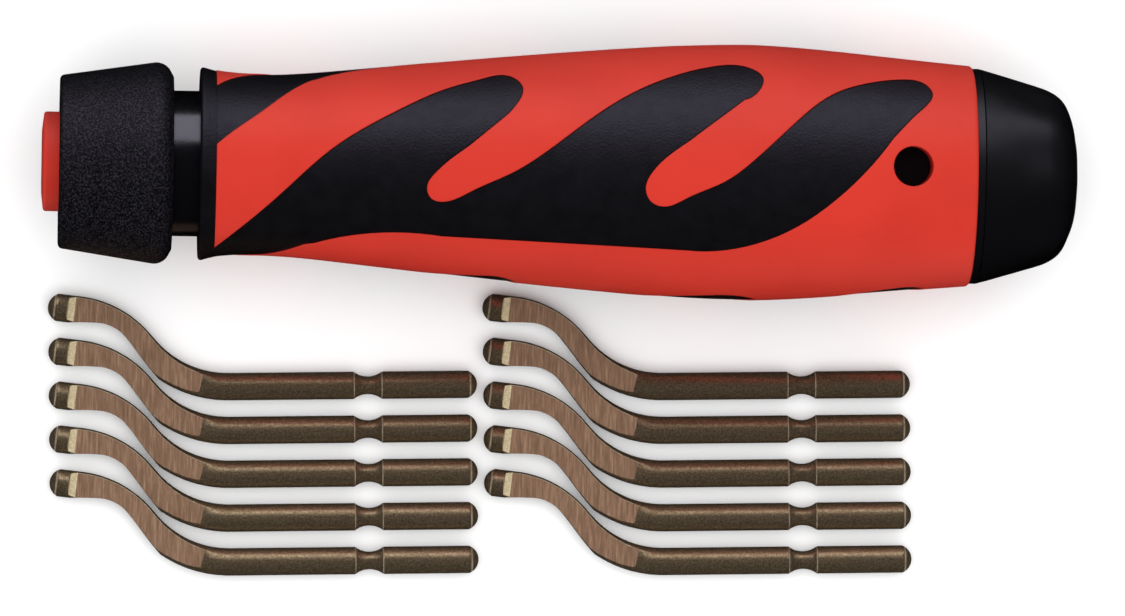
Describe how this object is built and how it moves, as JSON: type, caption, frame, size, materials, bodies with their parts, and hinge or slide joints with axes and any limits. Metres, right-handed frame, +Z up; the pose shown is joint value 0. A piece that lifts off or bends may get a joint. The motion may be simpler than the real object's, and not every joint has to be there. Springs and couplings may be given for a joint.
{
  "type": "deburring tool",
  "caption": "Hand deburring tool with a two-colour grip, a ball-lock chuck under a sliding collar and a pull-off end cap, with bent spare blades laid beside it.",
  "frame": {"origin": "mouth of the blade socket, on the tool's axis, level with the nose's front face", "axes": "+X along the tool's axis to the end cap, +Z up from the bench, +Y away from the blades"},
  "size_m": [0.1197, 0.0626, 0.0296],
  "materials": {
    "red_plastic": "satin moulded",
    "black_grip": "soft satin",
    "black_plastic": "fine textured",
    "black_gloss": "smooth",
    "tool_steel": "bronzed, ground on the tip's face",
    "bright_steel": "turned",
    "black_rubber": "smooth"
  },
  "bodies": {
    "handle": {"handle_core": "red_plastic", "grip_overmould": "black_grip", "neck_sleeve": "black_gloss", "rear_ring": "black_gloss", "chuck_spindle": "bright_steel", "nose_bush": "red_plastic", "collar_spring": "bright_steel", "spring_seat_washer": "bright_steel", "spindle_clip": "bright_steel"},
    "collar": {"collar": "black_plastic", "collar_ramp_ring": "bright_steel"},
    "ball_1": {"lock_ball_1": "bright_steel"},
    "ball_2": {"lock_ball_2": "bright_steel"},
    "ball_3": {"lock_ball_3": "bright_steel"},
    "cap": {"end_cap": "black_gloss", "cap_plug": "black_gloss", "cap_o_ring": "black_rubber"},
    "blade_1": {"blade_1": "tool_steel"},
    "blade_2": {"blade_2": "tool_steel"},
    "blade_3": {"blade_3": "tool_steel"},
    "blade_4": {"blade_4": "tool_steel"},
    "blade_5": {"blade_5": "tool_steel"},
    "blade_6": {"blade_6": "tool_steel"},
    "blade_7": {"blade_7": "tool_steel"},
    "blade_8": {"blade_8": "tool_steel"},
    "blade_9": {"blade_9": "tool_steel"},
    "blade_10": {"blade_10": "tool_steel"}
  },
  "joints": [
    {"name": "collar_slide", "type": "slide", "parent": "handle", "child": "collar", "axis": [1, 0, 0], "range_m": [0, 0.0028], "stiffness_N_per_m": 600, "springref_m": -0.005, "deforming": ["collar_spring"]},
    {"name": "ball_1_out", "type": "slide", "parent": "handle", "child": "ball_1", "axis": [0, 1, 0], "range_m": [0, 0.00062]},
    {"name": "ball_2_out", "type": "slide", "parent": "handle", "child": "ball_2", "axis": [0, -0.5, -0.866], "range_m": [0, 0.00062]},
    {"name": "ball_3_out", "type": "slide", "parent": "handle", "child": "ball_3", "axis": [0, -0.5, 0.866], "range_m": [0, 0.00062]},
    {"name": "cap_pull", "type": "slide", "parent": "handle", "child": "cap", "axis": [1, 0, 0], "range_m": [0, 0.032]},
    {"name": "blade_1_lift", "type": "slide", "parent": "handle", "child": "blade_1", "axis": [0, 0, 1], "range_m": [0, 0.04]},
    {"name": "blade_2_lift", "type": "slide", "parent": "handle", "child": "blade_2", "axis": [0, 0, 1], "range_m": [0, 0.04]},
    {"name": "blade_3_lift", "type": "slide", "parent": "handle", "child": "blade_3", "axis": [0, 0, 1], "range_m": [0, 0.04]},
    {"name": "blade_4_lift", "type": "slide", "parent": "handle", "child": "blade_4", "axis": [0, 0, 1], "range_m": [0, 0.04]},
    {"name": "blade_5_lift", "type": "slide", "parent": "handle", "child": "blade_5", "axis": [0, 0, 1], "range_m": [0, 0.04]},
    {"name": "blade_6_lift", "type": "slide", "parent": "handle", "child": "blade_6", "axis": [0, 0, 1], "range_m": [0, 0.04]},
    {"name": "blade_7_lift", "type": "slide", "parent": "handle", "child": "blade_7", "axis": [0, 0, 1], "range_m": [0, 0.04]},
    {"name": "blade_8_lift", "type": "slide", "parent": "handle", "child": "blade_8", "axis": [0, 0, 1], "range_m": [0, 0.04]},
    {"name": "blade_9_lift", "type": "slide", "parent": "handle", "child": "blade_9", "axis": [0, 0, 1], "range_m": [0, 0.04]},
    {"name": "blade_10_lift", "type": "slide", "parent": "handle", "child": "blade_10", "axis": [0, 0, 1], "range_m": [0, 0.04]}
  ],
  "couplings": [
    {"joint": "ball_1_out", "follows": "collar_slide", "ratio": 0.22},
    {"joint": "ball_2_out", "follows": "collar_slide", "ratio": 0.22},
    {"joint": "ball_3_out", "follows": "collar_slide", "ratio": 0.22}
  ]
}
